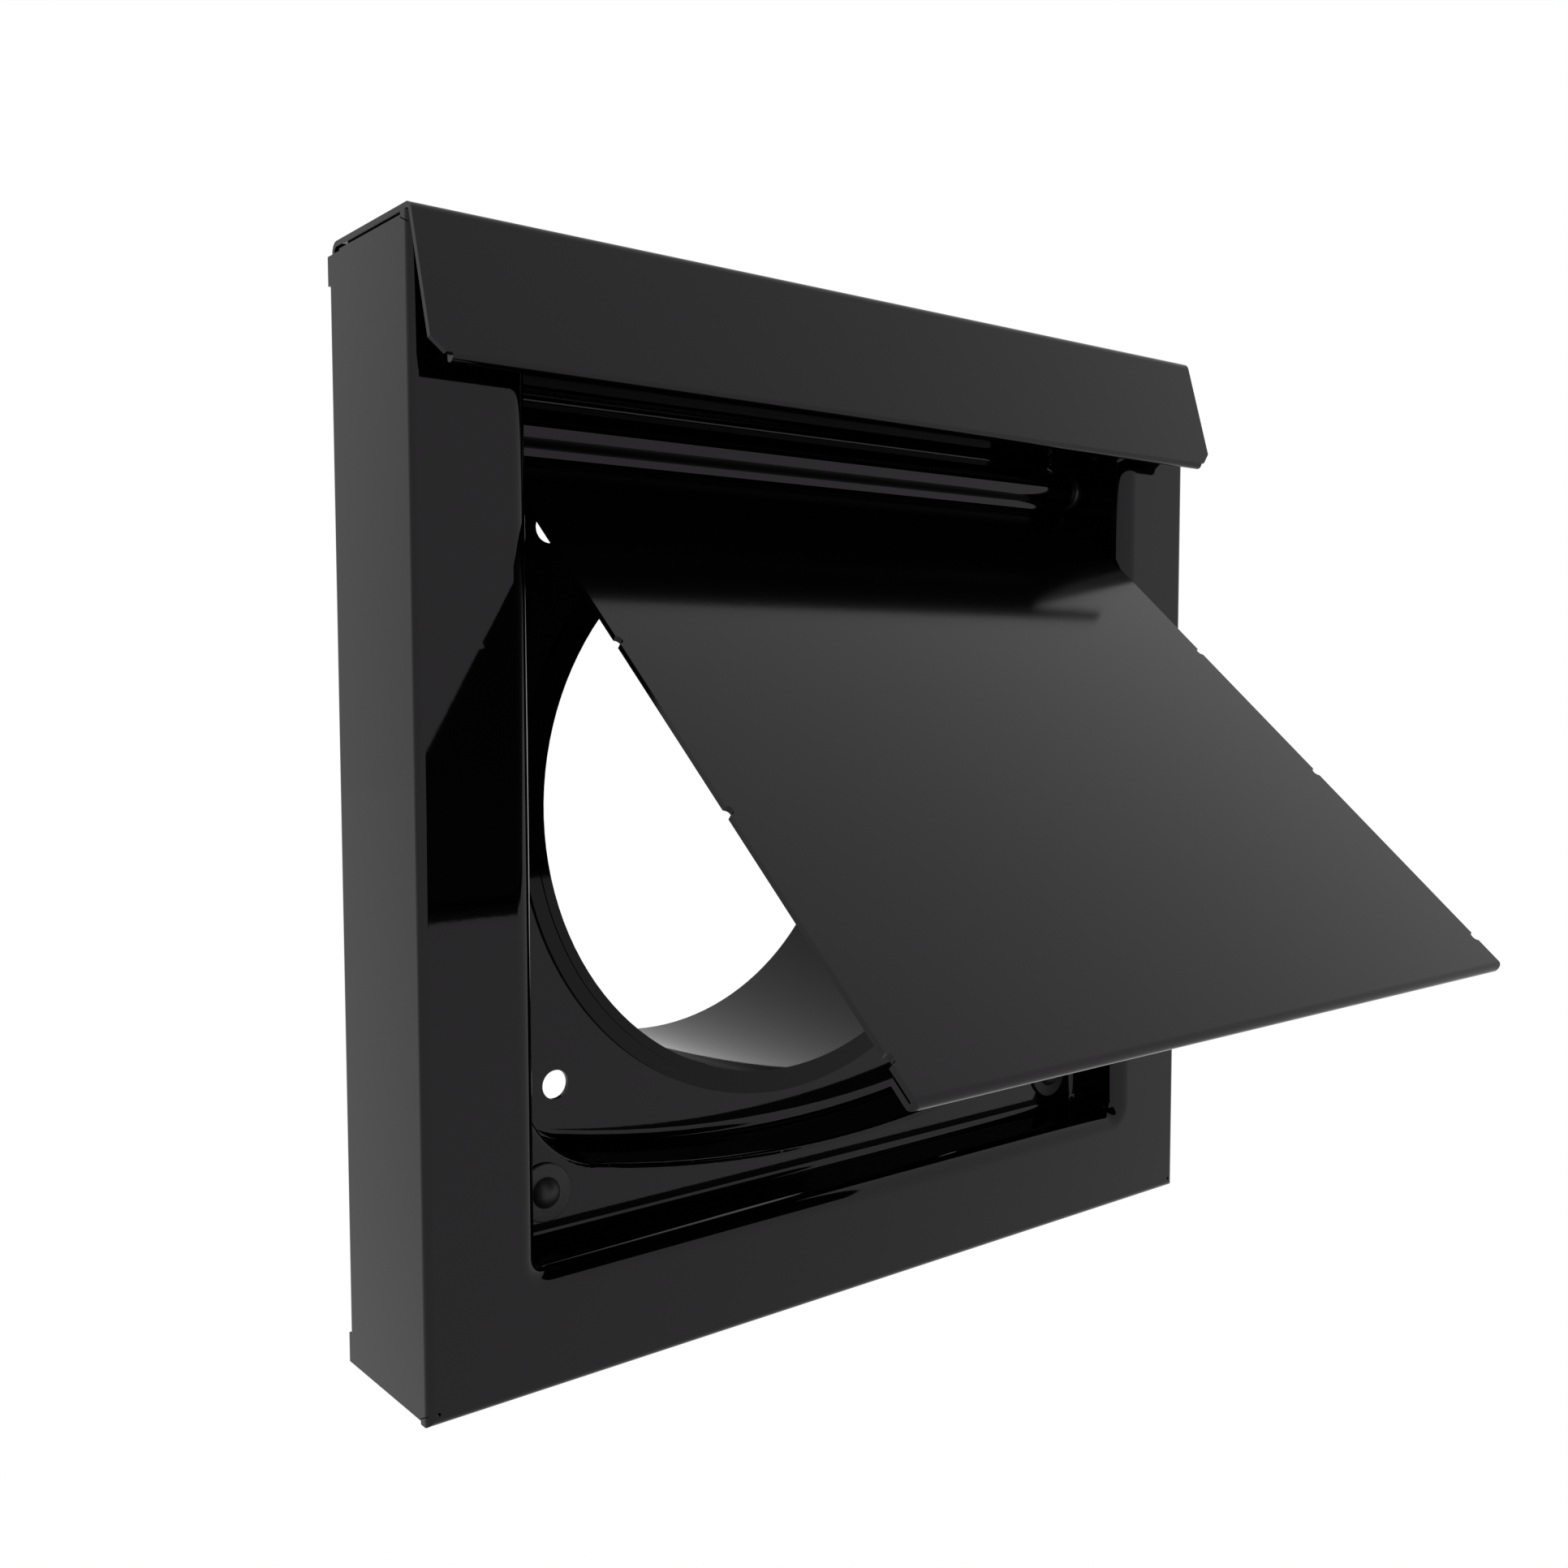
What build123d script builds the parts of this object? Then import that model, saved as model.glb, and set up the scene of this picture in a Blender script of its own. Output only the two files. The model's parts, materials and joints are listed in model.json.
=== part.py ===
# A low-profile wall vent cap for a clothes dryer, folded and drawn from black sheet metal.
# Frame: origin at the centre of the duct hole on the wall plane, +X right, +Y into the
# wall, +Z up, millimetres. The cap faces -Y. The damper is modelled swung open.

import os
from math import cos, radians, sin, tan

from build123d import *

# Pan: the square drawn housing
SHEET = 0.8                  # thickness of the pan's sheet
FACE = 165.1                 # outer width and height, six and a half inches
DEPTH = 26.7                 # front face to wall
FACE_BEND = 1.2              # outer radius from the front face into the side flanges
REAR_BEND = 1.1              # outer radius where a flange turns in against the wall
RETURN = 4.8                 # width of the rear return
RETURN_NOTCH = 5.0           # the returns and their bends stop this far from each corner
SEAM = 0.5                   # open seam between two flanges at a corner
SEAM_END = 2.4               # the seams end this far behind the face, and the slits start
SLIT = 0.15                  # width of the slit at the front end of each seam
SLIT_LENGTH = 2.2
SLIT_REACH = 1.6             # how far it runs in from the side
SLIT_LEAN = 26.0             # degrees
RELIEF = 0.6                 # diameter of the relief hole at its end

# Duct collar: a 4 inch pipe with a turned flange
DUCT_BORE = 99.2
DUCT_WALL = 0.6
DUCT_END_Y = 40.4            # the open end inside the wall
FLANGE_WIDTH = 4.1           # the mouth flange, from the bore outwards
FLANGE_THICK = 0.5
LIP_WIDTH = 1.65             # the raised lip round the bore
LIP_RISE = 0.2
DUCT_FIT = 0.1               # radial gap between pipe and pan
NECK_STEP = 1.2              # the folded sheet is this much thicker where it passes the floor
BEAD = 1.0                   # how far the locking bead behind the floor stands out past that
BEAD_WIDTH = 1.0

# Window: the clear opening between the drawn walls, and its mouth
WINDOW_CORNER = 1.8
MOUTH_BEND = 3.2             # outer radius from the front face into the window walls

# Ledge: the sloping seat behind the window, with the recess in its middle
LEDGE_Y = -14.8              # its face, at the height of the bumpers
LEDGE_WIDTH = 4.3            # from a side of the recess to the window wall
LEDGE_LEAN = 3.3             # degrees, the top of the ledge is nearer the wall
LEDGE_BEND = 1.3             # inside radius between window wall and ledge
RIM_BEND = 1.0               # outer radius of the rim, where the recess starts
RECESS_ROOM = 6.5            # from the duct's flange to the straight sides of the recess
RECESS_ROOM_Z = 6.4          # and to its bulging top and bottom edges
RECESS_ARC = 225.0           # radius of that bulge
RECESS_CORNER = 15.4
RECESS_DRAFT = 2.5           # degrees, the recess narrows towards the wall
FLOOR_Y = -2.0               # face of the floor, with the duct hole
FLOOR_BEND = 2.0             # inside radius between recess wall and floor

# Screw holes in the floor
SCREW_HOLE = 4.8
SCREW_X = 95.25              # spacing across, three and three quarter inches
SCREW_Z = 90.0               # spacing up

# Visor
VISOR_SHEET = 0.8
VISOR_BEND = 0.7             # inside radius
FLAP_LEAN = 16.0             # degrees, the flap leans out
FLAP_DROP = 20.6             # from the top of the pan down to the bottom of the hem
HEM_LEG = 5.0
HEM_GAP = 0.2
TOP_FLANGE_END = -4.2        # rear edge of the pan's top flange
HOOK_GAP = 1.7               # from that edge back to the rear hook
FLAP_BEVEL = 2.0
HEM_SHORT = 2.9              # the hem stops this far from each end

# Hinge
AXIS_Y = -12.7
AXIS_DROP = 6.5              # from the window's top wall down to the axis
ROD = 4.8
ROD_END = 2.5                # length of the rod past each window wall's face
ROD_CHAMFER = 0.4
ROD_FIT = 0.08               # radial running gap inside the knuckle
PRESS_FIT = 0.02             # radial gap of a pressed piece
BUSH_FLANGE = 6.4
BUSH_FLANGE_THICK = 1.1
BUSH_BODY = 5.8
BUSH_BARB = 6.6
BUSH_TAIL = 1.4              # length behind the wall
BUSH_NOSE = 0.3              # chamfer of the flange and the tail

# Damper
DAMPER_SHEET = 0.85
DAMPER_GAP = 1.6             # from each side of the plate to the window wall
DAMPER_OPEN = 49.0           # degrees from hanging, as modelled
FOOT_GAP = 0.6               # from the hem to the window's bottom wall, as the plate hangs
KNUCKLE_GAP = 1.6            # from each end of the knuckle to the flange of its bush
NECK = 2.0                   # fillet where the knuckle meets the plate
SHOULDER = 6.0               # from the axis to where the plate gets its full width
DAMPER_HEM_LEG = 3.4
DAMPER_HEM_GAP = 0.3
DAMPER_CORNER = 0.8
NICK = 1.5                   # diameter of the half-round nicks
NICK_AT = (6.1, 43.9, 75.9)  # their places, from the bottom of the hem up

# Bumpers
BUMPER_INSET = 7.3           # from the window's side wall to the bumper's centre
BUMPER_RISE = 7.0            # from the window's bottom wall to the bumper's centre
BUMPER_DISC = 9.0
BUMPER_DISC_THICK = 0.6
BUMPER_DOME = 4.8
BUMPER_HEIGHT = 2.3
BUMPER_STEM = 3.2
BUMPER_BARB = 4.4
BUMPER_TAIL = 2.6            # length behind the ledge

half_face = FACE / 2
flange_r = DUCT_BORE / 2 + FLANGE_WIDTH
lip_r = DUCT_BORE / 2 + LIP_WIDTH
half_recess = flange_r + RECESS_ROOM
recess_low = flange_r + RECESS_ROOM_Z
half_window = half_recess + LEDGE_WIDTH
inside = FACE - 2 * SHEET
seam_end_y = SEAM_END - DEPTH
lean = radians(LEDGE_LEAN)
duct_outer_r = DUCT_BORE / 2 + DUCT_WALL
duct_neck_r = duct_outer_r + NECK_STEP
knuckle_bore_r = ROD / 2 + ROD_FIT
knuckle_r = knuckle_bore_r + DAMPER_SHEET
knuckle_width = 2 * (half_window - BUSH_FLANGE_THICK - KNUCKLE_GAP)
damper_width = 2 * (half_window - DAMPER_GAP)
axis_z = half_window - AXIS_DROP
damper_reach = axis_z + half_window - FOOT_GAP
bumper_x = half_window - BUMPER_INSET
bumper_z = BUMPER_RISE - half_window
open_angle = radians(DAMPER_OPEN)
axis_point = (0, AXIS_Y, axis_z)
hinge_axis = Axis(axis_point, (1, 0, 0))
front_plane = Plane((0, -DEPTH, 0), x_dir=(1, 0, 0), z_dir=(0, -1, 0))
floor_plane = Plane((0, FLOOR_Y, 0), x_dir=(1, 0, 0), z_dir=(0, -1, 0))

os.makedirs("parts", exist_ok=True)


def ledge_y(z, back=0.0):
    """Where the ledge's face is at height z, or a sheet thickness behind it."""
    return LEDGE_Y + back / cos(lean) + (z - bumper_z) * tan(lean)


def ledge_spot(x):
    """The plane that a bumper stands on, facing out of the ledge."""
    return Plane((x, LEDGE_Y, bumper_z), x_dir=(1, 0, 0), z_dir=(0, -cos(lean), sin(lean)))


def bend(edges, radius, hidden=False):
    """Rounds a bend. On the hidden side a flat stands for the arc, touching its middle."""
    if hidden:
        chamfer(edges, radius * (2 - 2 ** 0.5))
    else:
        fillet(edges, radius)


# The drawn pocket is built as air twice, once as the space the eye looks into and once
# one sheet thickness larger. The pan's wall is the difference, even but for its bends,
# where the hidden side is a flat.
def window_air(grow):
    """The space between the window walls, back to the leaning ledge."""
    half = half_window + grow
    with BuildPart() as room:
        with BuildSketch(Plane.YZ.offset(-half)):
            Polygon(
                (-DEPTH - SHEET, -half), (ledge_y(-half, grow), -half),
                (ledge_y(half, grow), half), (-DEPTH - SHEET, half),
                align=None,
            )
        extrude(amount=2 * half)
        fillet(room.edges().filter_by(Axis.Y), WINDOW_CORNER + grow)
        bend(room.faces().sort_by(Axis.Y)[-1].edges(), LEDGE_BEND + grow, hidden=grow > 0)
    return room.part


def recess_air(grow):
    """The recess: a rounded square with bulging top and bottom edges, tapered."""
    depth = FLOOR_Y - LEDGE_Y
    narrowing = depth * tan(radians(RECESS_DRAFT))
    half = half_recess - narrowing + grow
    low = recess_low - narrowing + grow
    arc = RECESS_ARC + grow
    corner_z = low - arc + (arc ** 2 - half ** 2) ** 0.5
    with BuildPart() as hollow:
        with BuildSketch(floor_plane.offset(-grow)):
            with BuildLine():
                ThreePointArc((-half, -corner_z), (0, -low), (half, -corner_z))
                Line((half, -corner_z), (half, corner_z))
                ThreePointArc((half, corner_z), (0, low), (-half, corner_z))
                Line((-half, corner_z), (-half, -corner_z))
            outline = make_face()
            fillet(outline.vertices(), RECESS_CORNER + grow)
        extrude(amount=depth + grow + SHEET)
        walls = hollow.faces().filter_by(Axis.Y, reverse=True)
        draft(walls, neutral_plane=floor_plane.offset(-grow), angle=-RECESS_DRAFT)
        bend(hollow.faces().sort_by(Axis.Y)[-1].edges(), FLOOR_BEND + grow, hidden=grow > 0)
    return hollow.part


def drawn_air(grow):
    """Window and recess together, with the rim between them rolled over in front."""
    with BuildPart() as air:
        add(window_air(grow))
        add(recess_air(grow))
        rim = [
            edge for edge in air.edges()
            if abs(edge.center().Y - ledge_y(edge.center().Z, grow)) < SHEET / 4
            and max(abs(edge.center().X), abs(edge.center().Z)) < half_recess + 2 * SHEET
        ]
        if grow == 0:
            fillet(rim, RIM_BEND)
    return air.part


# Housing pan
def rear_bend_waste():
    """The corner that a bend rounds off, along one rear edge."""
    reach = half_face - RETURN_NOTCH
    centre = half_face - REAR_BEND
    with BuildPart() as waste:
        with BuildSketch(Plane.XY.offset(-reach)):
            with Locations((half_face, 0)):
                Rectangle(2 * REAR_BEND, 2 * REAR_BEND)
            with Locations((centre, -REAR_BEND)):
                Circle(REAR_BEND, mode=Mode.SUBTRACT)
            with Locations((centre - REAR_BEND, 0)):
                Rectangle(2 * REAR_BEND, 4 * REAR_BEND, mode=Mode.SUBTRACT)
            with Locations((half_face, -2 * REAR_BEND)):
                Rectangle(4 * REAR_BEND, 2 * REAR_BEND, mode=Mode.SUBTRACT)
        extrude(amount=2 * reach)
    return waste.part


def corner_slits():
    """The leaning slits at the four front corners, each with a relief hole at its end."""
    start = half_face - SLIT_REACH
    slope = radians(SLIT_LEAN)
    run = SLIT_LENGTH * cos(slope)
    drop = SLIT_LENGTH * sin(slope)
    with BuildPart() as slit:
        with BuildSketch(Plane.YZ.offset(start)):
            with Locations(Location((seam_end_y, inside / 2), 180 + SLIT_LEAN)):
                Rectangle(SLIT_LENGTH, SLIT, align=(Align.MIN, Align.CENTER))
        extrude(amount=2 * SLIT_REACH)
        with BuildSketch(Plane.XZ.offset(run - seam_end_y)):
            with Locations((start, inside / 2 - drop)):
                Circle(RELIEF / 2)
        extrude(amount=2 * SHEET, both=True)
    upper = [slit.part, slit.part.mirror(Plane.YZ)]
    return upper + [each.mirror(Plane.XY) for each in upper]


pocket_skin = drawn_air(SHEET)
pocket_room = drawn_air(0)
bend_waste = rear_bend_waste()
ring_inside = FACE - 2 * RETURN

with BuildPart() as box_room:
    with BuildSketch(front_plane.offset(-SHEET)):
        Rectangle(inside, inside)
    extrude(amount=-(DEPTH - 2 * SHEET))
    fillet(box_room.faces().sort_by(Axis.Y)[0].edges(), FACE_BEND - SHEET)
    fillet(box_room.faces().sort_by(Axis.Y)[-1].edges(), REAR_BEND - SHEET)

with BuildPart() as housing_pan:
    with BuildSketch(front_plane):
        Rectangle(FACE, FACE)
    extrude(amount=-DEPTH)
    fillet(housing_pan.faces().sort_by(Axis.Y)[0].edges(), FACE_BEND)
    add(box_room.part, mode=Mode.SUBTRACT)
    with BuildSketch(Plane.XZ):
        Rectangle(ring_inside, ring_inside)
    extrude(amount=SHEET, mode=Mode.SUBTRACT)
    # the drawn pocket goes in, and its mouth is rolled over to meet the front sheet
    add(split(pocket_skin, bisect_by=front_plane, keep=Keep.BOTTOM, mode=Mode.PRIVATE))
    hidden_mouth = (
        housing_pan.edges()
        .filter_by_position(Axis.Y, -DEPTH + SHEET / 2, -DEPTH + 3 * SHEET / 2)
        .filter_by_position(Axis.X, -half_window - 2 * SHEET, half_window + 2 * SHEET)
        .filter_by_position(Axis.Z, -half_window - 2 * SHEET, half_window + 2 * SHEET)
    )
    bend(hidden_mouth, MOUTH_BEND - SHEET, hidden=True)
    add(pocket_room, mode=Mode.SUBTRACT)
    mouth = (
        housing_pan.edges()
        .filter_by_position(Axis.Y, -DEPTH - SHEET / 2, -DEPTH + SHEET / 2)
        .filter_by_position(Axis.X, -half_window - SHEET, half_window + SHEET)
        .filter_by_position(Axis.Z, -half_window - SHEET, half_window + SHEET)
    )
    fillet(mouth, MOUTH_BEND)
    # duct hole and screw holes
    with BuildSketch(floor_plane.offset(SHEET)):
        Circle(duct_neck_r + DUCT_FIT)
        with GridLocations(SCREW_X, SCREW_Z, 2, 2):
            Circle(SCREW_HOLE / 2)
    extrude(amount=-4 * SHEET, mode=Mode.SUBTRACT)
    # holes for the bumper stems and the two bushes
    for x in (-bumper_x, bumper_x):
        with BuildSketch(ledge_spot(x).offset(SHEET)):
            Circle(BUMPER_STEM / 2 + PRESS_FIT)
        extrude(amount=-3 * SHEET, mode=Mode.SUBTRACT)
    for wall in (-half_window - 2 * SHEET, half_window - SHEET):
        with BuildSketch(Plane.YZ.offset(wall)):
            with Locations((AXIS_Y, axis_z)):
                Circle(BUSH_BODY / 2 + PRESS_FIT)
        extrude(amount=3 * SHEET, mode=Mode.SUBTRACT)
    # the top flange ends short of the wall, so that the visor can hook over it
    with BuildSketch(Plane.XZ):
        with Locations((0, half_face)):
            Rectangle(inside, 2 * RETURN_NOTCH)
            Rectangle(FACE, 2 * SHEET)
    extrude(amount=-TOP_FLANGE_END, mode=Mode.SUBTRACT)
    # returns end before the corners, and their bends are rounded
    gap = RETURN_NOTCH - SHEET
    with BuildSketch(Plane.XZ):
        with GridLocations(inside - gap, inside - gap, 2, 2):
            Rectangle(gap, gap)
    extrude(amount=REAR_BEND, mode=Mode.SUBTRACT)
    for turn in (0, 90, 180):
        add(bend_waste.rotate(Axis.Y, turn), mode=Mode.SUBTRACT)
    # open seams where two flanges meet, each with a slit at its front end
    with BuildSketch(Plane.XZ):
        with GridLocations(FACE - SHEET, FACE, 2, 2):
            Rectangle(SHEET, 2 * SEAM)
        with GridLocations(inside - SEAM, FACE, 2, 2):
            Rectangle(SEAM, 4 * SHEET)
    extrude(amount=-seam_end_y, mode=Mode.SUBTRACT)
    for slit in corner_slits():
        add(slit, mode=Mode.SUBTRACT)
housing_pan.part.label = "housing_pan"
export_step(housing_pan.part, "parts/housing_pan.step")


# Duct collar
with BuildPart() as duct_collar:
    with BuildSketch(Plane.XY):
        with BuildLine():
            Polyline(
                (DUCT_BORE / 2, FLOOR_Y - FLANGE_THICK - LIP_RISE),
                (lip_r, FLOOR_Y - FLANGE_THICK - LIP_RISE),
                (lip_r, FLOOR_Y - FLANGE_THICK),
                (flange_r, FLOOR_Y - FLANGE_THICK),
                (flange_r, FLOOR_Y),
                (duct_neck_r, FLOOR_Y),
                (duct_neck_r, FLOOR_Y + SHEET),
                (duct_neck_r + BEAD, FLOOR_Y + SHEET),
                (duct_neck_r + BEAD, FLOOR_Y + SHEET + BEAD_WIDTH),
                (duct_outer_r, FLOOR_Y + SHEET + BEAD_WIDTH),
                (duct_outer_r, DUCT_END_Y),
                (DUCT_BORE / 2, DUCT_END_Y),
                close=True,
            )
        make_face()
    revolve(axis=Axis.Y)
duct_collar.part.label = "duct_collar"
export_step(duct_collar.part, "parts/duct_collar.step")


# Folded hems
def folded_edge(sheet, gap_width, leg):
    """The section of a hem: a U-turn round the origin's right side, and a leg going up."""
    with BuildSketch() as section:
        with Locations((gap_width / 2, 0)):
            Circle(gap_width / 2 + sheet)
            Circle(gap_width / 2, mode=Mode.SUBTRACT)
            Rectangle(
                4 * sheet, 4 * sheet, align=(Align.CENTER, Align.MIN), mode=Mode.SUBTRACT
            )
        with Locations((gap_width, 0)):
            Rectangle(sheet, leg, align=(Align.MIN, Align.MIN))
    return section.sketch


# Visor
tilt = radians(FLAP_LEAN)
brow = (-DEPTH, half_face)
flap_height = FLAP_DROP - VISOR_SHEET - HEM_GAP / 2
hem_turn = (brow[0] - flap_height * tan(tilt), brow[1] - flap_height)
hook_y = TOP_FLANGE_END + HOOK_GAP

with BuildPart() as visor:
    with BuildSketch(Plane.YZ.offset(-half_face)):
        with BuildLine():
            inner = FilletPolyline(
                (hook_y, half_face - SHEET), (hook_y, half_face), brow, hem_turn,
                radius=VISOR_BEND,
            )
            offset(inner, amount=VISOR_SHEET, side=Side.RIGHT, closed=True)
        make_face()
    extrude(amount=FACE)
    # bevel the two lower corners of the flap
    for end in (0, -1):
        lowest = visor.faces().sort_by(Axis.X)[end].edges().group_by(Axis.Z)[0].sort_by(Axis.Y)
        chamfer(lowest[0], FLAP_BEVEL)
    with BuildSketch(Plane.YZ.offset(-half_face + HEM_SHORT)):
        with Locations(Location(hem_turn, -FLAP_LEAN)):
            add(folded_edge(VISOR_SHEET, HEM_GAP, HEM_LEG))
    extrude(amount=FACE - 2 * HEM_SHORT)
visor.part.label = "visor"
export_step(visor.part, "parts/visor.step")


# Hinge rod
with BuildPart() as hinge_rod:
    with BuildSketch(Plane.YZ.offset(-half_window - ROD_END)):
        with Locations((AXIS_Y, axis_z)):
            Circle(ROD / 2)
    extrude(amount=2 * (half_window + ROD_END))
    chamfer(hinge_rod.edges().filter_by(GeomType.CIRCLE), ROD_CHAMFER)
hinge_rod.part.label = "hinge_rod"
export_step(hinge_rod.part, "parts/hinge_rod.step")


# Rod bushes
def rod_bush(side):
    """A flanged bush pushed into a window wall from the window, barbed behind it."""
    seat = Plane((side * half_window, AXIS_Y, axis_z), x_dir=(side, 0, 0), z_dir=(0, -1, 0))
    bore = ROD / 2 + PRESS_FIT
    with BuildPart() as piece:
        with BuildSketch(seat):
            with BuildLine():
                Polyline(
                    (-BUSH_FLANGE_THICK, bore),
                    (-BUSH_FLANGE_THICK, BUSH_FLANGE / 2 - BUSH_NOSE),
                    (-BUSH_FLANGE_THICK + BUSH_NOSE, BUSH_FLANGE / 2),
                    (0, BUSH_FLANGE / 2),
                    (0, BUSH_BODY / 2),
                    (SHEET, BUSH_BODY / 2),
                    (SHEET, BUSH_BARB / 2),
                    (SHEET + BUSH_TAIL, BUSH_BODY / 2 - BUSH_NOSE / 2),
                    (SHEET + BUSH_TAIL, bore),
                    close=True,
                )
            make_face()
        revolve(axis=hinge_axis)
    return piece.part


rod_bush_left = rod_bush(-1)
rod_bush_left.label = "rod_bush_left"
export_step(rod_bush_left, "parts/rod_bush_left.step")

rod_bush_right = rod_bush(1)
rod_bush_right.label = "rod_bush_right"
export_step(rod_bush_right, "parts/rod_bush_right.step")


# Bumpers
def bumper(x):
    """A push-in rubber bumper: dome and disc in front, stem and barb through the ledge."""
    spot = ledge_spot(x)
    section = Plane(spot.origin, x_dir=(1, 0, 0), z_dir=spot.y_dir * -1)
    rise = BUMPER_HEIGHT - BUMPER_DISC_THICK
    dome_r = ((BUMPER_DOME / 2) ** 2 + rise ** 2) / (2 * rise)
    with BuildPart() as piece:
        with BuildSketch(section):
            with BuildLine():
                Polyline(
                    (0, BUMPER_HEIGHT),
                    (0, -SHEET - BUMPER_TAIL),
                    (BUMPER_STEM / 2, -SHEET - BUMPER_TAIL),
                    (BUMPER_BARB / 2, -SHEET),
                    (BUMPER_STEM / 2, -SHEET),
                    (BUMPER_STEM / 2, 0),
                    (BUMPER_DISC / 2, 0),
                    (BUMPER_DISC / 2, BUMPER_DISC_THICK),
                    (BUMPER_DOME / 2, BUMPER_DISC_THICK),
                )
                RadiusArc((BUMPER_DOME / 2, BUMPER_DISC_THICK), (0, BUMPER_HEIGHT), -dome_r)
            make_face()
        revolve(axis=Axis(spot.origin, spot.z_dir))
        rims = piece.edges().filter_by(GeomType.CIRCLE).group_by(SortBy.RADIUS)[-1]
        chamfer(rims.sort_by(Axis.Y)[0], BUMPER_DISC_THICK / 4)
    return piece.part


bumper_left = bumper(-bumper_x)
bumper_left.label = "bumper_left"
export_step(bumper_left, "parts/bumper_left.step")

bumper_right = bumper(bumper_x)
bumper_right.label = "bumper_right"
export_step(bumper_right, "parts/bumper_right.step")


# Damper, drawn in its own section plane and turned open
section_plane = Plane(
    axis_point, x_dir=(0, cos(open_angle), -sin(open_angle)), z_dir=(1, 0, 0)
)
plate_plane = Plane(
    axis_point, x_dir=(1, 0, 0), z_dir=(0, -cos(open_angle), sin(open_angle))
)
hem_at = damper_reach - DAMPER_SHEET - DAMPER_HEM_GAP / 2

with BuildPart() as damper:
    # plate and hem, then cut to the outline with its nicks
    with BuildSketch(section_plane.offset(-damper_width / 2)):
        with Locations((knuckle_bore_r, -SHOULDER)):
            Rectangle(DAMPER_SHEET, hem_at - SHOULDER, align=(Align.MIN, Align.MAX))
        with Locations((knuckle_r, -hem_at)):
            add(folded_edge(DAMPER_SHEET, DAMPER_HEM_GAP, DAMPER_HEM_LEG))
    extrude(amount=damper_width)
    with BuildSketch(plate_plane.offset(knuckle_r)) as outline:
        with Locations((0, -SHOULDER)):
            Rectangle(
                damper_width, damper_reach - SHOULDER, align=(Align.CENTER, Align.MAX)
            )
        fillet(outline.vertices().group_by(Axis.Y)[0], DAMPER_CORNER)
        for at in NICK_AT:
            with Locations((0, at - damper_reach)):
                with GridLocations(damper_width, 1, 2, 1):
                    Circle(NICK / 2, mode=Mode.SUBTRACT)
    extrude(amount=-4 * knuckle_r, mode=Mode.INTERSECT)
    # rolled knuckle with its neck
    with BuildSketch(section_plane.offset(-knuckle_width / 2)) as roll:
        Circle(knuckle_r)
        with Locations((knuckle_bore_r, 0)):
            Rectangle(DAMPER_SHEET, SHOULDER, align=(Align.MIN, Align.MAX))
        fillet(roll.vertices().filter_by_position(Axis.Y, -knuckle_r, -NECK / 2), NECK)
        Circle(knuckle_bore_r, mode=Mode.SUBTRACT)
    extrude(amount=knuckle_width)
damper.part.label = "damper"
export_step(damper.part, "parts/damper.step")
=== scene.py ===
# %% [markdown]
# # A black wall vent cap, from a CAD frame to a studio picture
#
# The cap covers the end of a clothes dryer's duct on the outside wall of a house. It is
# folded and drawn from thin steel sheet, and powder coated black. A rain visor shades the
# top, and a light damper hangs on a rod and swings out when air blows.
#
# The shapes come from CAD and stay as they are, so this lesson is about light and finish:
# how to show a black, glossy thing on a white ground. Black paint sends back almost no
# light of its own. What the eye reads as its shape is the white room mirrored in it.

import json
import math

import bpy
from mathutils import Matrix, Vector


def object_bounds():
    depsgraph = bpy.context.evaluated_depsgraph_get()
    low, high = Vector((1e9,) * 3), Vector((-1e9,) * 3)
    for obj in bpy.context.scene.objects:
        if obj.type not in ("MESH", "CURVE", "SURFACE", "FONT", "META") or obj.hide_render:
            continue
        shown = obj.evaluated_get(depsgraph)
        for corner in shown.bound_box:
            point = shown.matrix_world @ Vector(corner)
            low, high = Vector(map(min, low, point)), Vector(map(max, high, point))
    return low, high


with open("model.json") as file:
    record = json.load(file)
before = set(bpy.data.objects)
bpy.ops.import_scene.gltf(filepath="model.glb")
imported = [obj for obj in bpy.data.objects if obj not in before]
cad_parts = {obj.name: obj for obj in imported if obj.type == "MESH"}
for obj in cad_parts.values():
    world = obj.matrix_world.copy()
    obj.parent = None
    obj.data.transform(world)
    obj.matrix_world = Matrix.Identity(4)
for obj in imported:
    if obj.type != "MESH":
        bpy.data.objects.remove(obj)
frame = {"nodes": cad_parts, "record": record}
nodes = frame["nodes"]
cad_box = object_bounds()
print("nodes:", sorted(nodes))
print("CAD box in metres:", [[round(value, 4) for value in corner] for corner in cad_box])

# %% [markdown]
# ## Camera
#
# The photographer stood in front of the cap and to its left, at about mid height, rather
# close: less than 30 cm away. That is why the near left side looks tall and the far right
# side short. The place and the turn of the camera were worked out from the edges of the
# cap in the photograph. A camera in Blender looks along its own -Z axis with +Y up, so its
# turn is a matrix whose columns are the directions right, up and backwards.

# %% Camera
CAMERA_PLACE = Vector((-0.17234, -0.21688, 0.01986))
CAMERA_YAW = math.radians(38.777)       # turned from +Y towards +X
CAMERA_PITCH = math.radians(-3.679)     # looking down a little
CAMERA_ROLL = math.radians(-0.085)
PHOTO_SIZE = 1932
FOCAL_PIXELS = 1883.54                  # focal length, counted in the photograph's pixels
SENSOR_WIDTH = 36.0                     # millimetres, which lenses are measured in
NEAR_CLIP = 0.01                        # metres, like all other lengths here


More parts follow.
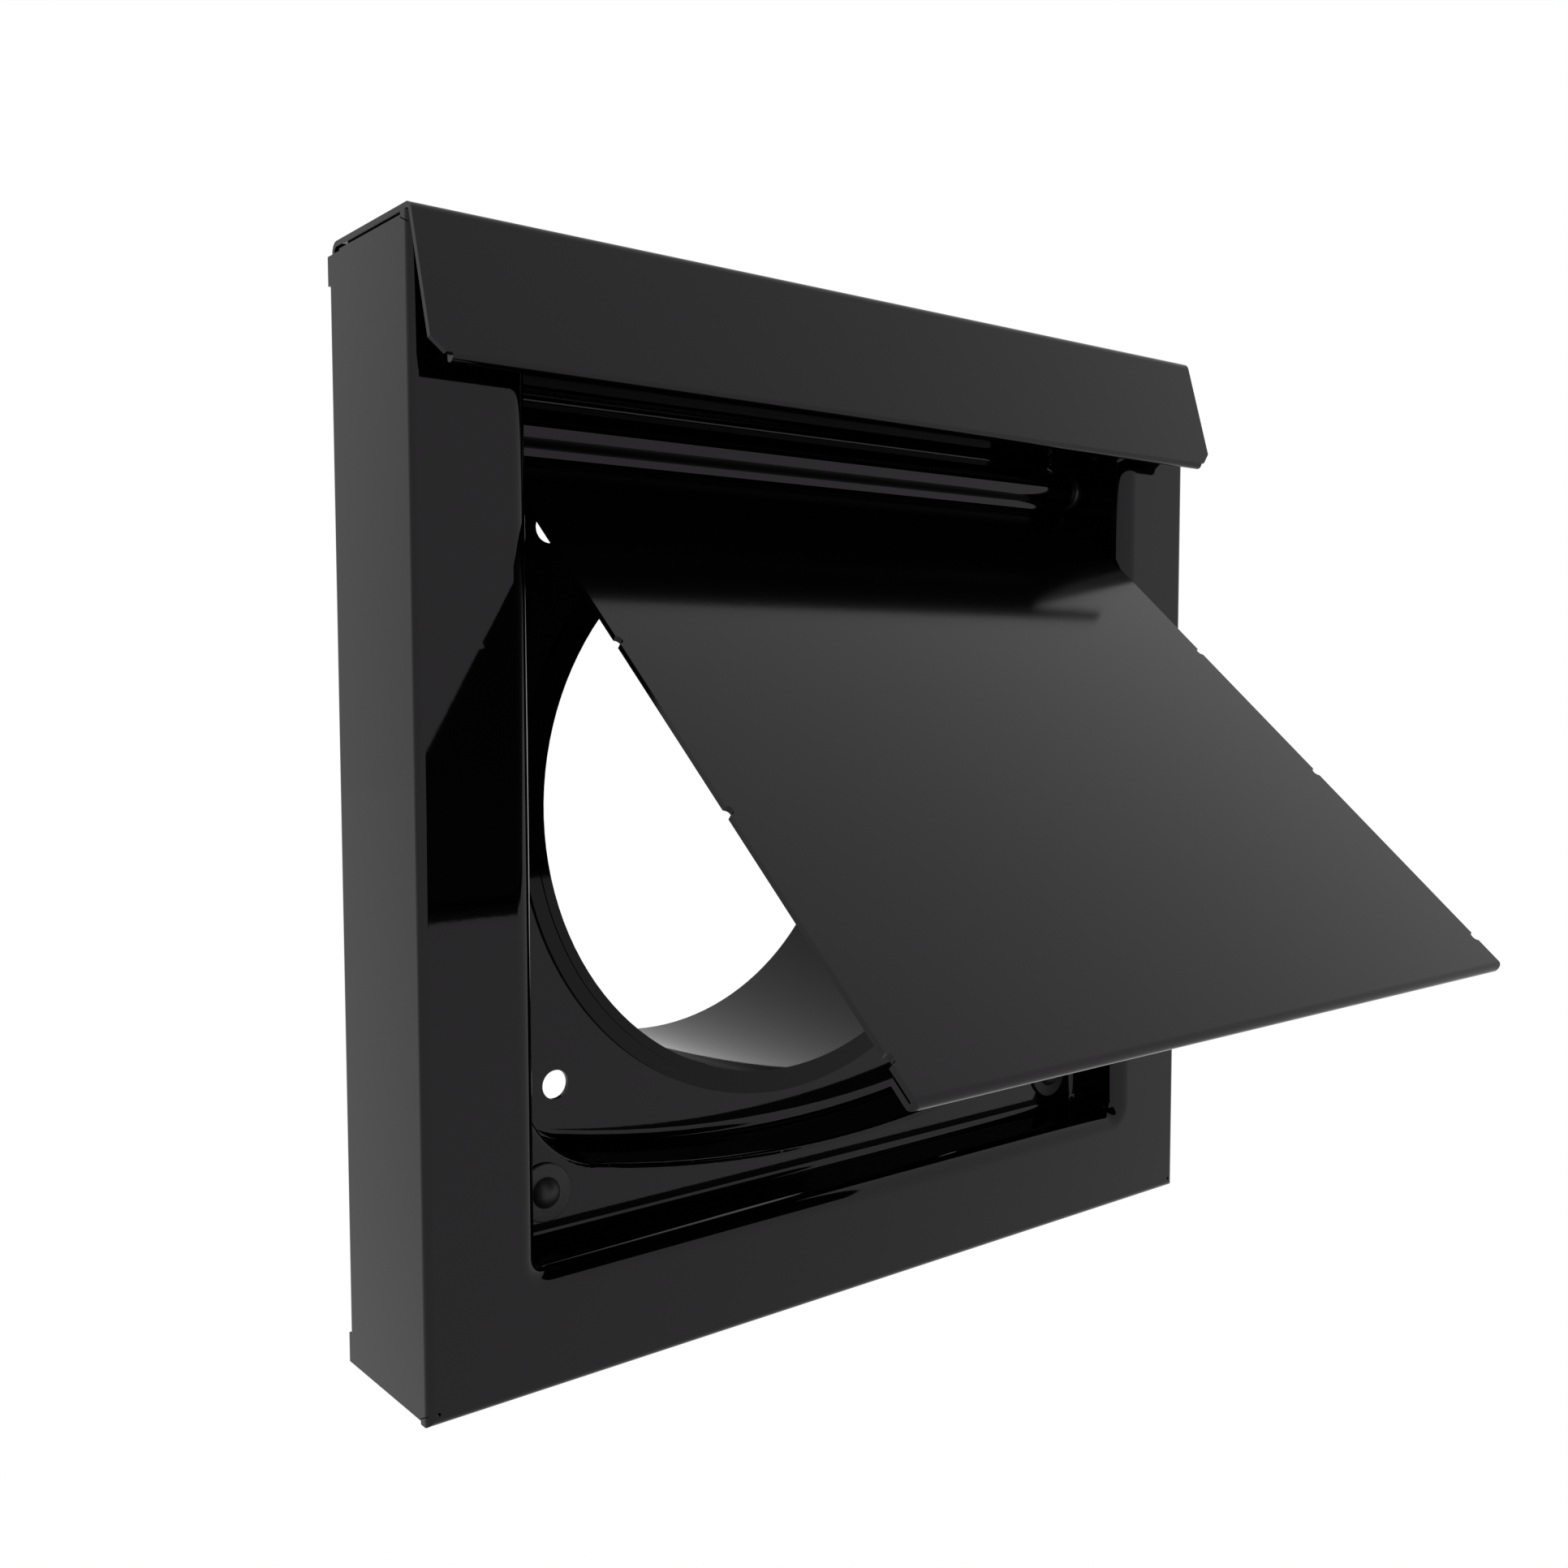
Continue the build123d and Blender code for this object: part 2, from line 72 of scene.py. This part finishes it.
def look_matrix(yaw, pitch, roll):
    """Columns right, up, back: forward is the unit vector of yaw and pitch, right is
    forward x Z, and both right and up are then turned about forward by roll."""
    forward = Vector((
        math.sin(yaw) * math.cos(pitch), math.cos(yaw) * math.cos(pitch), math.sin(pitch)
    ))
    level_right = forward.cross(Vector((0, 0, 1))).normalized()
    level_up = level_right.cross(forward)
    right = level_right * math.cos(roll) + level_up * math.sin(roll)
    up = level_up * math.cos(roll) - level_right * math.sin(roll)
    return Matrix((right, up, -forward)).transposed()


camera_data = bpy.data.cameras.new("photo_camera")
camera_data.sensor_width = SENSOR_WIDTH
camera_data.lens = SENSOR_WIDTH * FOCAL_PIXELS / PHOTO_SIZE
camera_data.clip_start = NEAR_CLIP
camera = bpy.data.objects.new("photo_camera", camera_data)
camera.matrix_world = Matrix.Translation(CAMERA_PLACE) @ look_matrix(
    CAMERA_YAW, CAMERA_PITCH, CAMERA_ROLL
).to_4x4()
bpy.context.scene.collection.objects.link(camera)
bpy.context.scene.camera = camera
print("lens", round(camera_data.lens, 2), "mm")

# %% [markdown]
# ## Node helpers
#
# Materials are built in code below. Two small helpers keep that short: one adds a node and
# fills in its sockets, the other starts a node group with named inputs and outputs.


# %% Node helpers
def add_node(tree, kind, **values):
    """Adds a node. A keyword that names one of its properties sets that property, and any
    other, with spaces written as underscores, sets the socket of that name."""
    node = tree.nodes.new(kind)
    for key, value in values.items():
        if key in node.bl_rna.properties:
            setattr(node, key, value)
    for key, value in values.items():
        if key not in node.bl_rna.properties:
            node.inputs[key.replace("_", " ")].default_value = value
    return node


def new_group(name, inputs, outputs):
    """An empty shader node group with named sockets, each given as (name, kind, value)."""
    group = bpy.data.node_groups.new(name, "ShaderNodeTree")
    for label, kind, value in inputs:
        socket = group.interface.new_socket(label, in_out="INPUT", socket_type=kind)
        if value is not None:
            socket.default_value = value
    for label, kind in outputs:
        group.interface.new_socket(label, in_out="OUTPUT", socket_type=kind)
    return group, group.nodes.new("NodeGroupInput"), group.nodes.new("NodeGroupOutput")


print("helpers:", add_node.__name__, "and", new_group.__name__)

# %% [markdown]
# ## Powder coat
#
# Powder coat is plastic dust that is sprayed on dry and melted in an oven. It flows into a
# skin that is nearly smooth but keeps a faint ripple, called orange peel, a millimetre or
# two across. Under the ripple lies a much finer grain. Both are far too small to model, so
# they are a height for the Bump node. The ripple also tints the coat and the grain changes
# its gloss a little.
#
# The pattern is three-dimensional noise read at Object coordinates, so it runs over bends
# without a seam. It is a group, because every coated and moulded piece shares it.

# %% Powder coat group
FLOAT = "NodeSocketFloat"
VECTOR = "NodeSocketVector"
RIPPLE_SIZE = 0.0016
GRAIN_SIZE = 0.00025
GRAIN_SHARE = 0.12                      # height of the grain, where the ripple's is 1
NOISE_LOW, NOISE_HIGH = 0.3, 0.7        # nearly all of the noise lies between these
TINT_LOW, TINT_HIGH = 0.85, 1.15
COAT_GLOSS_LOW, COAT_GLOSS_HIGH = 0.035, 0.06
noise_range = {"From_Min": NOISE_LOW, "From_Max": NOISE_HIGH}

peel, peel_in, peel_out = new_group(
    "orange_peel",
    [("Place", VECTOR, None),
     ("Ripple Size", FLOAT, RIPPLE_SIZE), ("Grain Size", FLOAT, GRAIN_SIZE),
     ("Gloss Low", FLOAT, COAT_GLOSS_LOW), ("Gloss High", FLOAT, COAT_GLOSS_HIGH)],
    [("Tint", FLOAT), ("Roughness", FLOAT), ("Height", FLOAT)],
)
ripple_scale = add_node(peel, "ShaderNodeMath", operation="DIVIDE")
ripple_scale.inputs[0].default_value = 1.0
ripple = add_node(peel, "ShaderNodeTexNoise", Detail=2.0, Roughness=0.45)
grain_scale = add_node(peel, "ShaderNodeMath", operation="DIVIDE")
grain_scale.inputs[0].default_value = 1.0
grain = add_node(peel, "ShaderNodeTexNoise", Detail=1.0)
gloss = add_node(peel, "ShaderNodeMapRange", **noise_range)
tint = add_node(peel, "ShaderNodeMapRange", To_Min=TINT_LOW, To_Max=TINT_HIGH, **noise_range)
grain_part = add_node(peel, "ShaderNodeMath", operation="MULTIPLY")
grain_part.inputs[1].default_value = GRAIN_SHARE
height = add_node(peel, "ShaderNodeMath", operation="ADD")
peel.links.new(peel_in.outputs["Ripple Size"], ripple_scale.inputs[1])
peel.links.new(peel_in.outputs["Grain Size"], grain_scale.inputs[1])
peel.links.new(ripple_scale.outputs[0], ripple.inputs["Scale"])
peel.links.new(grain_scale.outputs[0], grain.inputs["Scale"])
peel.links.new(peel_in.outputs["Place"], ripple.inputs["Vector"])
peel.links.new(peel_in.outputs["Place"], grain.inputs["Vector"])
peel.links.new(grain.outputs["Fac"], gloss.inputs["Value"])
peel.links.new(peel_in.outputs["Gloss Low"], gloss.inputs["To Min"])
peel.links.new(peel_in.outputs["Gloss High"], gloss.inputs["To Max"])
peel.links.new(ripple.outputs["Fac"], tint.inputs["Value"])
peel.links.new(grain.outputs["Fac"], grain_part.inputs[0])
peel.links.new(ripple.outputs["Fac"], height.inputs[0])
peel.links.new(grain_part.outputs[0], height.inputs[1])
peel.links.new(tint.outputs["Result"], peel_out.inputs["Tint"])
peel.links.new(gloss.outputs["Result"], peel_out.inputs["Roughness"])
peel.links.new(height.outputs[0], peel_out.inputs["Height"])
print("group", peel.name, "has", len(peel.nodes), "nodes")

# %% [markdown]
# ## Coated sheet
#
# Pan, visor, collar and damper are steel sheet, and all that shows is the coat on it. Its
# colour is nearly nothing, and the mirror on top of it is weaker than that of plain
# plastic, because the photograph's black is deep. The photograph's mirror images lean a
# little towards purple, so the mirror takes back some of the green. The collar's copy of
# the coat has a weaker mirror as painted shade inside the pipe, which is darker than the
# coat would make it. The damper's own coat is there because its gloss is changed below.


# %% Coated sheet
COAT_BLACK = (0.0007, 0.0007, 0.0007)
COAT_MIRROR = 0.28
# a weaker mirror for the collar's copy of the coat: painted shade inside the pipe
COLLAR_SHADE_MIRROR = 0.17
COAT_BUMP, DAMPER_BUMP = 0.02, 0.015
COAT_GREEN, DAMPER_GREEN = 0.94, 0.92
BUMP_HEIGHT = 0.0001


def coated_sheet(name, black, mirror, bump, green=COAT_GREEN):
    """A black coat: the group's tint times a dark colour, its gloss and its height."""
    material = bpy.data.materials.new(name)
    material.use_nodes = True
    tree = material.node_tree
    shader = tree.nodes["Principled BSDF"]
    shader.inputs["Specular IOR Level"].default_value = mirror
    shader.inputs["Specular Tint"].default_value = (1.0, green, 1.0, 1.0)
    place = add_node(tree, "ShaderNodeTexCoord")
    coat = add_node(tree, "ShaderNodeGroup")
    coat.node_tree = peel
    paint = add_node(tree, "ShaderNodeVectorMath", operation="SCALE")
    paint.inputs[0].default_value = black
    relief = add_node(tree, "ShaderNodeBump", Strength=bump, Distance=BUMP_HEIGHT)
    tree.links.new(place.outputs["Object"], coat.inputs["Place"])
    tree.links.new(coat.outputs["Tint"], paint.inputs["Scale"])
    tree.links.new(paint.outputs[0], shader.inputs["Base Color"])
    tree.links.new(coat.outputs["Roughness"], shader.inputs["Roughness"])
    tree.links.new(coat.outputs["Height"], relief.inputs["Height"])
    tree.links.new(relief.outputs["Normal"], shader.inputs["Normal"])
    return material


def find_node(material, kind):
    """The material's one node of that type."""
    return next(node for node in material.node_tree.nodes if node.type == kind)


def dress(node_name, material):
    """Puts a material on a CAD node, in place of what its slots held."""
    mesh = nodes[node_name].data
    mesh.materials.clear()
    mesh.materials.append(material)
    print(node_name, "wears", material.name, "-", len(mesh.polygons), "faces")


housing_coat = coated_sheet("black_powder_coat", COAT_BLACK, COAT_MIRROR, COAT_BUMP)
# the collar's darker copy of the same coat: painted shade inside the pipe
collar_shaded_coat = coated_sheet("collar_shaded_coat", COAT_BLACK, COLLAR_SHADE_MIRROR, COAT_BUMP)
damper_coat = coated_sheet("damper_coat", COAT_BLACK, COAT_MIRROR, DAMPER_BUMP, DAMPER_GREEN)
for sheet in ("housing_pan", "visor"):
    dress(sheet, housing_coat)
dress("duct_collar", collar_shaded_coat)
dress("damper", damper_coat)

# %% [markdown]
# ## The damper's two glosses
#
# On the flat plate the photograph shows a soft mirror image: the dark band that the visor
# throws on it ends in a blur. On the roll round the rod the same coat is crisp, because it
# was drawn tight over the small radius. So the roughness is multiplied by a factor that
# grows with the distance from the hinge axis, from ROLL_GLOSS on the roll to 1 on the plate.

# %% Damper gloss
ROLL_GLOSS = 0.4
ROLL_RADIUS = 0.0045                    # a little more than the roll's own
PLATE_START = 0.0085
PLATE_GLOSS_LOW, PLATE_GLOSS_HIGH = 0.09, 0.13
hinge_place = frame["record"]["behaviour"]["joints"][0]["pos_m"]
tree = damper_coat.node_tree
coat = find_node(damper_coat, "GROUP")
coat.inputs["Gloss Low"].default_value = PLATE_GLOSS_LOW
coat.inputs["Gloss High"].default_value = PLATE_GLOSS_HIGH
place = find_node(damper_coat, "TEX_COORD")
across = add_node(tree, "ShaderNodeVectorMath", operation="MULTIPLY")
across.inputs[1].default_value = (0.0, 1.0, 1.0)    # the place along the axis drops out
from_axis = add_node(tree, "ShaderNodeVectorMath", operation="DISTANCE")
from_axis.inputs[1].default_value = hinge_place
blur = add_node(
    tree, "ShaderNodeMapRange", From_Min=ROLL_RADIUS, From_Max=PLATE_START, To_Min=ROLL_GLOSS
)
rough = add_node(tree, "ShaderNodeMath", operation="MULTIPLY")
tree.links.new(place.outputs["Object"], across.inputs[0])
tree.links.new(across.outputs[0], from_axis.inputs[0])
tree.links.new(from_axis.outputs["Value"], blur.inputs["Value"])
tree.links.new(coat.outputs["Roughness"], rough.inputs[0])
tree.links.new(blur.outputs["Result"], rough.inputs[1])
tree.links.new(rough.outputs[0], tree.nodes["Principled BSDF"].inputs["Roughness"])
print("hinge axis at", hinge_place)

# %% [markdown]
# ## Hinge rod
#
# The rod is drawn steel: it was pulled through a die, so its marks run along it. Noise that
# is stretched along X, by a scale that is much smaller there than across, gives the marks
# their tone, their gloss and a faint relief.

# %% Drawn rod
MARK_SCALES = (60.0, 9000.0, 9000.0)    # marks per metre along the rod and across it
STEEL_DARK = (0.3, 0.3, 0.31, 1)
STEEL_LIGHT = (0.46, 0.46, 0.47, 1)
STEEL_GLOSS_LOW, STEEL_GLOSS_HIGH = 0.2, 0.38
MARK_BUMP = 0.1
MARK_HEIGHT = 0.00005
rod_steel = bpy.data.materials.new("rod_steel")
rod_steel.use_nodes = True
tree = rod_steel.node_tree
shader = tree.nodes["Principled BSDF"]
shader.inputs["Metallic"].default_value = 1.0
place = add_node(tree, "ShaderNodeTexCoord")
stretch = add_node(tree, "ShaderNodeMapping", Scale=MARK_SCALES)
marks = add_node(tree, "ShaderNodeTexNoise", Scale=1.0, Detail=3.0)
shine = add_node(
    tree, "ShaderNodeMapRange",
    To_Min=STEEL_GLOSS_LOW, To_Max=STEEL_GLOSS_HIGH, **noise_range,
)
tone = add_node(tree, "ShaderNodeMix", data_type="RGBA")
tone.inputs[6].default_value = STEEL_DARK
tone.inputs[7].default_value = STEEL_LIGHT
relief = add_node(tree, "ShaderNodeBump", Strength=MARK_BUMP, Distance=MARK_HEIGHT)
tree.links.new(place.outputs["Object"], stretch.inputs["Vector"])
tree.links.new(stretch.outputs[0], marks.inputs["Vector"])
tree.links.new(marks.outputs["Fac"], shine.inputs["Value"])
tree.links.new(marks.outputs["Fac"], tone.inputs[0])
tree.links.new(tone.outputs[2], shader.inputs["Base Color"])
tree.links.new(shine.outputs["Result"], shader.inputs["Roughness"])
tree.links.new(marks.outputs["Fac"], relief.inputs["Height"])
tree.links.new(relief.outputs["Normal"], shader.inputs["Normal"])
dress("hinge_rod", rod_steel)

# %% [markdown]
# ## Bushes and bumpers
#
# The bushes are moulded black nylon, and the two bumpers are soft rubber that keeps the
# damper from rattling. A moulding has no orange peel, but its mould was grained, so the
# same group serves with a finer ripple, more relief and much less gloss.


# %% Moulded pieces
MOULDED_BUMP = 0.05


def moulded(name, black, rough_low, rough_high, size, mirror):
    """A moulded black: noise between two gloss values and a faint relief."""
    material = coated_sheet(name, (black, black, black), mirror, MOULDED_BUMP)
    coat = find_node(material, "GROUP")
    coat.inputs["Ripple Size"].default_value = size
    coat.inputs["Gloss Low"].default_value = rough_low
    coat.inputs["Gloss High"].default_value = rough_high
    return material


bush_plastic = moulded(
    "bush_plastic", black=0.012, rough_low=0.3, rough_high=0.42, size=0.0006, mirror=0.4
)
bumper_rubber = moulded(
    "bumper_rubber", black=0.016, rough_low=0.42, rough_high=0.56, size=0.0008, mirror=0.42
)
for side in ("left", "right"):
    dress("rod_bush_" + side, bush_plastic)
    dress("bumper_" + side, bumper_rubber)

# %% [markdown]
# ## What a mirrored ray sees
#
# White everywhere is what makes the black readable. But where black paint mirrors black
# paint, as under the visor and in the recess, the photograph is nearly black. A room that
# is white on all sides would fill those second mirror images. The renderer counts how
# often a ray has been mirrored, so one that was mirrored twice sees only SECOND_MIRROR of
# the room. Floor and world both need this, and both need to know what kind of ray asks.


# %% Ray helpers
SECOND_MIRROR = 0.2


def dim_second_mirror(tree, rays, strength):
    """The strength for a ray mirrored once, and SECOND_MIRROR of it from twice on."""
    fade = add_node(
        tree, "ShaderNodeMapRange", From_Min=1.0, From_Max=2.0, To_Min=1.0, To_Max=SECOND_MIRROR
    )
    dimmed = add_node(tree, "ShaderNodeMath", operation="MULTIPLY")
    tree.links.new(rays.outputs["Glossy Depth"], fade.inputs["Value"])
    tree.links.new(strength, dimmed.inputs[0])
    tree.links.new(fade.outputs["Result"], dimmed.inputs[1])
    return dimmed.outputs[0]


def ray_is_any(tree, rays, first_kind, *other_kinds):
    """1 for a ray of one of these kinds, and 0 for any other ray."""
    found = rays.outputs[first_kind]
    for kind in other_kinds:
        either = add_node(tree, "ShaderNodeMath", operation="ADD", use_clamp=True)
        tree.links.new(found, either.inputs[0])
        tree.links.new(rays.outputs[kind], either.inputs[1])
        found = either.outputs[0]
    return found


print("a second mirror image shows", SECOND_MIRROR, "of the room")

# %% [markdown]
# ## Floor
#
# The cap hangs on a wall that the photograph leaves out, so the floor lies well below it.
# It is stage, not part of the cap.

# %% Floor plane
FLOOR_DROP = 0.35
FLOOR_HALF = 6.0
floor_level = cad_box[0][2] - FLOOR_DROP
corners = [(-FLOOR_HALF, -FLOOR_HALF, floor_level), (FLOOR_HALF, -FLOOR_HALF, floor_level),
           (FLOOR_HALF, FLOOR_HALF, floor_level), (-FLOOR_HALF, FLOOR_HALF, floor_level)]
floor_mesh = bpy.data.meshes.new("studio_floor")
floor_mesh.from_pydata(corners, [], [(0, 1, 2, 3)])
floor = bpy.data.objects.new("studio_floor", floor_mesh)
bpy.context.scene.collection.objects.link(floor)
print("floor", FLOOR_DROP, "m below the cap, at z =", round(floor_level, 4))

# %% [markdown]
# ## Floor paint
#
# Matt paint under soft lamps comes out grey. So the floor also glows, by what its lit paint
# lacks to white. The glow is there for the camera, for mirrors and for rays through glass.
# It is not there for soft light, or it would brighten the cap from below.
#
# Mirrored in the cap, the floor is a little brighter in front than behind the wall, as a
# studio with its lamps in front is. The glow goes down from a metre in front, GLOW_FRONT,
# to a metre behind, GLOW_BEHIND.

# %% Floor paint
FLOOR_LIT = 0.33                        # what the lamps and the world make of the bare floor
FLOOR_GLOW = 1.0 - FLOOR_LIT
FLOOR_GREY = (0.5, 0.5, 0.5, 1)
GLOW_FRONT, GLOW_BEHIND = 0.6, 0.4
GLOW_REACH = 1.0
floor_white = bpy.data.materials.new("floor_white")
floor_white.use_nodes = True
tree = floor_white.node_tree
tree.nodes.remove(tree.nodes["Principled BSDF"])
matt = add_node(tree, "ShaderNodeBsdfDiffuse", Color=FLOOR_GREY)
glow = add_node(tree, "ShaderNodeEmission")
spot = add_node(tree, "ShaderNodeTexCoord")
spot_axes = add_node(tree, "ShaderNodeSeparateXYZ")
mirror_glow = add_node(
    tree, "ShaderNodeMapRange",
    From_Min=-GLOW_REACH, From_Max=GLOW_REACH, To_Min=GLOW_FRONT, To_Max=GLOW_BEHIND,
)
glow_strength = add_node(tree, "ShaderNodeMix", data_type="FLOAT")
glow_strength.inputs["A"].default_value = FLOOR_GLOW
both = add_node(tree, "ShaderNodeAddShader")
rays = add_node(tree, "ShaderNodeLightPath")
pick = add_node(tree, "ShaderNodeMixShader")
tree.links.new(spot.outputs["Object"], spot_axes.inputs["Vector"])
tree.links.new(spot_axes.outputs["Y"], mirror_glow.inputs["Value"])
tree.links.new(mirror_glow.outputs["Result"], glow_strength.inputs["B"])
tree.links.new(rays.outputs["Is Glossy Ray"], glow_strength.inputs["Factor"])
dimmed_glow = dim_second_mirror(tree, rays, glow_strength.outputs["Result"])
tree.links.new(dimmed_glow, glow.inputs["Strength"])
tree.links.new(matt.outputs[0], both.inputs[0])
tree.links.new(glow.outputs[0], both.inputs[1])
seen = ray_is_any(tree, rays, "Is Camera Ray", "Is Glossy Ray", "Is Transmission Ray")
tree.links.new(seen, pick.inputs[0])
tree.links.new(matt.outputs[0], pick.inputs[1])
tree.links.new(both.outputs[0], pick.inputs[2])
tree.links.new(pick.outputs[0], tree.nodes["Material Output"].inputs["Surface"])
floor_mesh.materials.append(floor_white)
print("the floor glows", round(FLOOR_GLOW, 2), "for the camera")

# %% [markdown]
# ## World
#
# The world is the white room. The camera and rays through glass see it at a strength of 1,
# which is white, while soft light on the object is weaker. A mirror in a real studio shows
# the room as a little brighter towards the lamps in front than behind the wall. So for
# mirrored rays the world's strength is ROOM_MIDDLE - ROOM_FALL * y, where y is the ray's
# direction into the wall.

# %% World
AMBIENT = 0.5
ROOM_MIDDLE = 0.83
ROOM_FALL = 0.13
world = bpy.data.worlds.new("white_studio")
bpy.context.scene.world = world
world.use_nodes = True
tree = world.node_tree
background = tree.nodes["Background"]
background.inputs["Color"].default_value = (1, 1, 1, 1)
rays = add_node(tree, "ShaderNodeLightPath")
strength = add_node(tree, "ShaderNodeMapRange", To_Min=AMBIENT, To_Max=1.0)
direction = add_node(tree, "ShaderNodeTexCoord")
into_wall = add_node(tree, "ShaderNodeSeparateXYZ")
room = add_node(tree, "ShaderNodeMath", operation="MULTIPLY_ADD")
room.inputs[1].default_value = -ROOM_FALL
room.inputs[2].default_value = ROOM_MIDDLE
mirrored = add_node(tree, "ShaderNodeMix", data_type="FLOAT")
seen = ray_is_any(tree, rays, "Is Camera Ray", "Is Transmission Ray")
tree.links.new(seen, strength.inputs["Value"])
tree.links.new(direction.outputs["Generated"], into_wall.inputs["Vector"])
tree.links.new(into_wall.outputs["Y"], room.inputs[0])
tree.links.new(rays.outputs["Is Glossy Ray"], mirrored.inputs["Factor"])
tree.links.new(strength.outputs["Result"], mirrored.inputs["A"])
tree.links.new(dim_second_mirror(tree, rays, room.outputs[0]), mirrored.inputs["B"])
tree.links.new(mirrored.outputs["Result"], background.inputs["Strength"])
print("soft light", AMBIENT, "and mirrored room", ROOM_MIDDLE, "along the wall")

# %% [markdown]
# ## Lamps
#
# Two far, wide lamps light the floor evenly from above. A wide lamp has a soft shadow. The
# coat doesn't mirror the lamps themselves, because the photograph shows no hot spots.


# %% Lamps
def soft_sun(name, towards, strength, spread):
    """A far lamp that shines towards a direction. Its spread, in degrees, is how wide it
    looks from the object."""
    data = bpy.data.lights.new(name, "SUN")
    data.energy = strength
    data.angle = math.radians(spread)
    lamp = bpy.data.objects.new(name, data)
    lamp.rotation_euler = Vector(towards).to_track_quat("-Z", "Y").to_euler()
    lamp.visible_glossy = False
    bpy.context.scene.collection.objects.link(lamp)
    print(name, "has strength", strength, "and is", spread, "degrees wide")


soft_sun("key_lamp", towards=(0.5, 0.6, -0.9), strength=0.5, spread=70)
soft_sun("fill_lamp", towards=(-0.8, 0.5, -0.5), strength=0.3, spread=90)
bpy.context.scene.view_settings.view_transform = "Standard"
